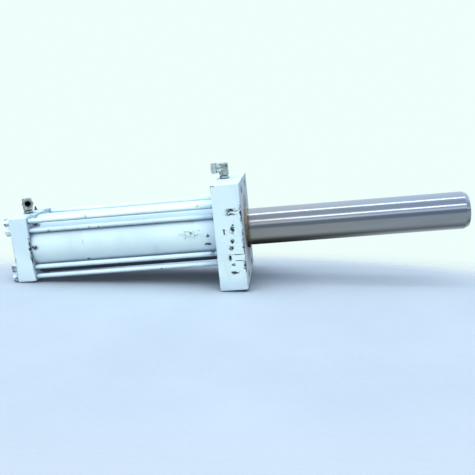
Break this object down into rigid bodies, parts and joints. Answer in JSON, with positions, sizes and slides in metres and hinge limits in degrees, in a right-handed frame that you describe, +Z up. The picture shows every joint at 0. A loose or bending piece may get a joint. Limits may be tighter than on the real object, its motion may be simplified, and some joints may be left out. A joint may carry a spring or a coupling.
{
  "type": "hydraulic cylinder",
  "caption": "Tie-rod hydraulic cylinder with a square bolted flange head, a smaller square cap, a thick chromed rod and elbow oil ports on top.",
  "frame": {"origin": "middle of the head's rod-side face, on the rod's axis, at the centre of the four mounting holes", "axes": "+X along the rod and out of its end, +Z up through both oil ports, +Y to the side with the cushion adjusters"},
  "size_m": [2.23, 0.519, 0.578],
  "materials": {
    "white_paint": "chipped satin paint",
    "hard_chrome": "ground and polished hard chrome",
    "fitting_steel": "plated steel",
    "dark_steel": "oiled black steel",
    "turned_steel": "turned steel",
    "piston_iron": "turned iron",
    "gland_bronze": "greasy stained bronze",
    "black_rubber": "oiled rubber",
    "seal_plastic": "dark seal plastic",
    "guide_laminate": "fabric laminate"
  },
  "bodies": {
    "barrel": {"rear_cap": "white_paint", "cylinder_tube": "white_paint", "front_head": "white_paint", "tie_rod_nuts": "white_paint", "tie_rod_washers": "white_paint", "tie_rod_1": "white_paint", "tie_rod_2": "white_paint", "tie_rod_3": "white_paint", "tie_rod_4": "white_paint", "tie_rod_5": "white_paint", "tie_rod_6": "white_paint", "tie_rod_7": "white_paint", "tie_rod_8": "white_paint", "rear_elbow": "fitting_steel", "rear_elbow_nut": "fitting_steel", "front_elbow": "fitting_steel", "front_elbow_nut": "fitting_steel", "bleed_screw": "dark_steel", "bleed_plug": "dark_steel", "rear_adjuster": "dark_steel", "rear_needle": "dark_steel", "front_adjuster": "dark_steel", "front_needle": "dark_steel", "gland_lock_screw": "dark_steel", "gland": "gland_bronze", "tube_seal_rear": "black_rubber", "tube_seal_front": "black_rubber", "gland_seal": "black_rubber", "rear_elbow_seal": "black_rubber", "front_elbow_seal": "black_rubber", "rod_seal": "seal_plastic", "buffer_seal": "seal_plastic", "rod_wiper": "seal_plastic", "rod_guide_inner": "guide_laminate", "rod_guide_outer": "guide_laminate"},
    "piston_rings": {"wear_ring_front": "guide_laminate", "wear_ring_rear": "guide_laminate", "piston_seal": "seal_plastic", "seal_energiser": "black_rubber"},
    "rod": {"piston_rod": "hard_chrome", "piston": "piston_iron", "piston_nut": "turned_steel", "nut_lock_screws": "dark_steel", "cushion_ring": "turned_steel", "piston_inner_seal": "black_rubber"},
    "rear_nut": {"rear_union_nut": "fitting_steel"},
    "front_nut": {"front_union_nut": "fitting_steel"}
  },
  "joints": [
    {"name": "rod_slide", "type": "slide", "parent": "barrel", "child": "piston_rings", "axis": [1, 0, 0], "range_m": [-0.8, 0]},
    {"name": "rod_turn", "type": "hinge", "parent": "piston_rings", "child": "rod", "pos_m": [0, 0, 0], "axis": [1, 0, 0], "continuous": true},
    {"name": "rear_nut_turn", "type": "hinge", "parent": "barrel", "child": "rear_nut", "pos_m": [-1.103, 0, 0.213], "axis": [0.454, -0.891, 0], "continuous": true},
    {"name": "front_nut_turn", "type": "hinge", "parent": "barrel", "child": "front_nut", "pos_m": [-0.087, 0, 0.303], "axis": [-1, 0, 0], "continuous": true}
  ]
}
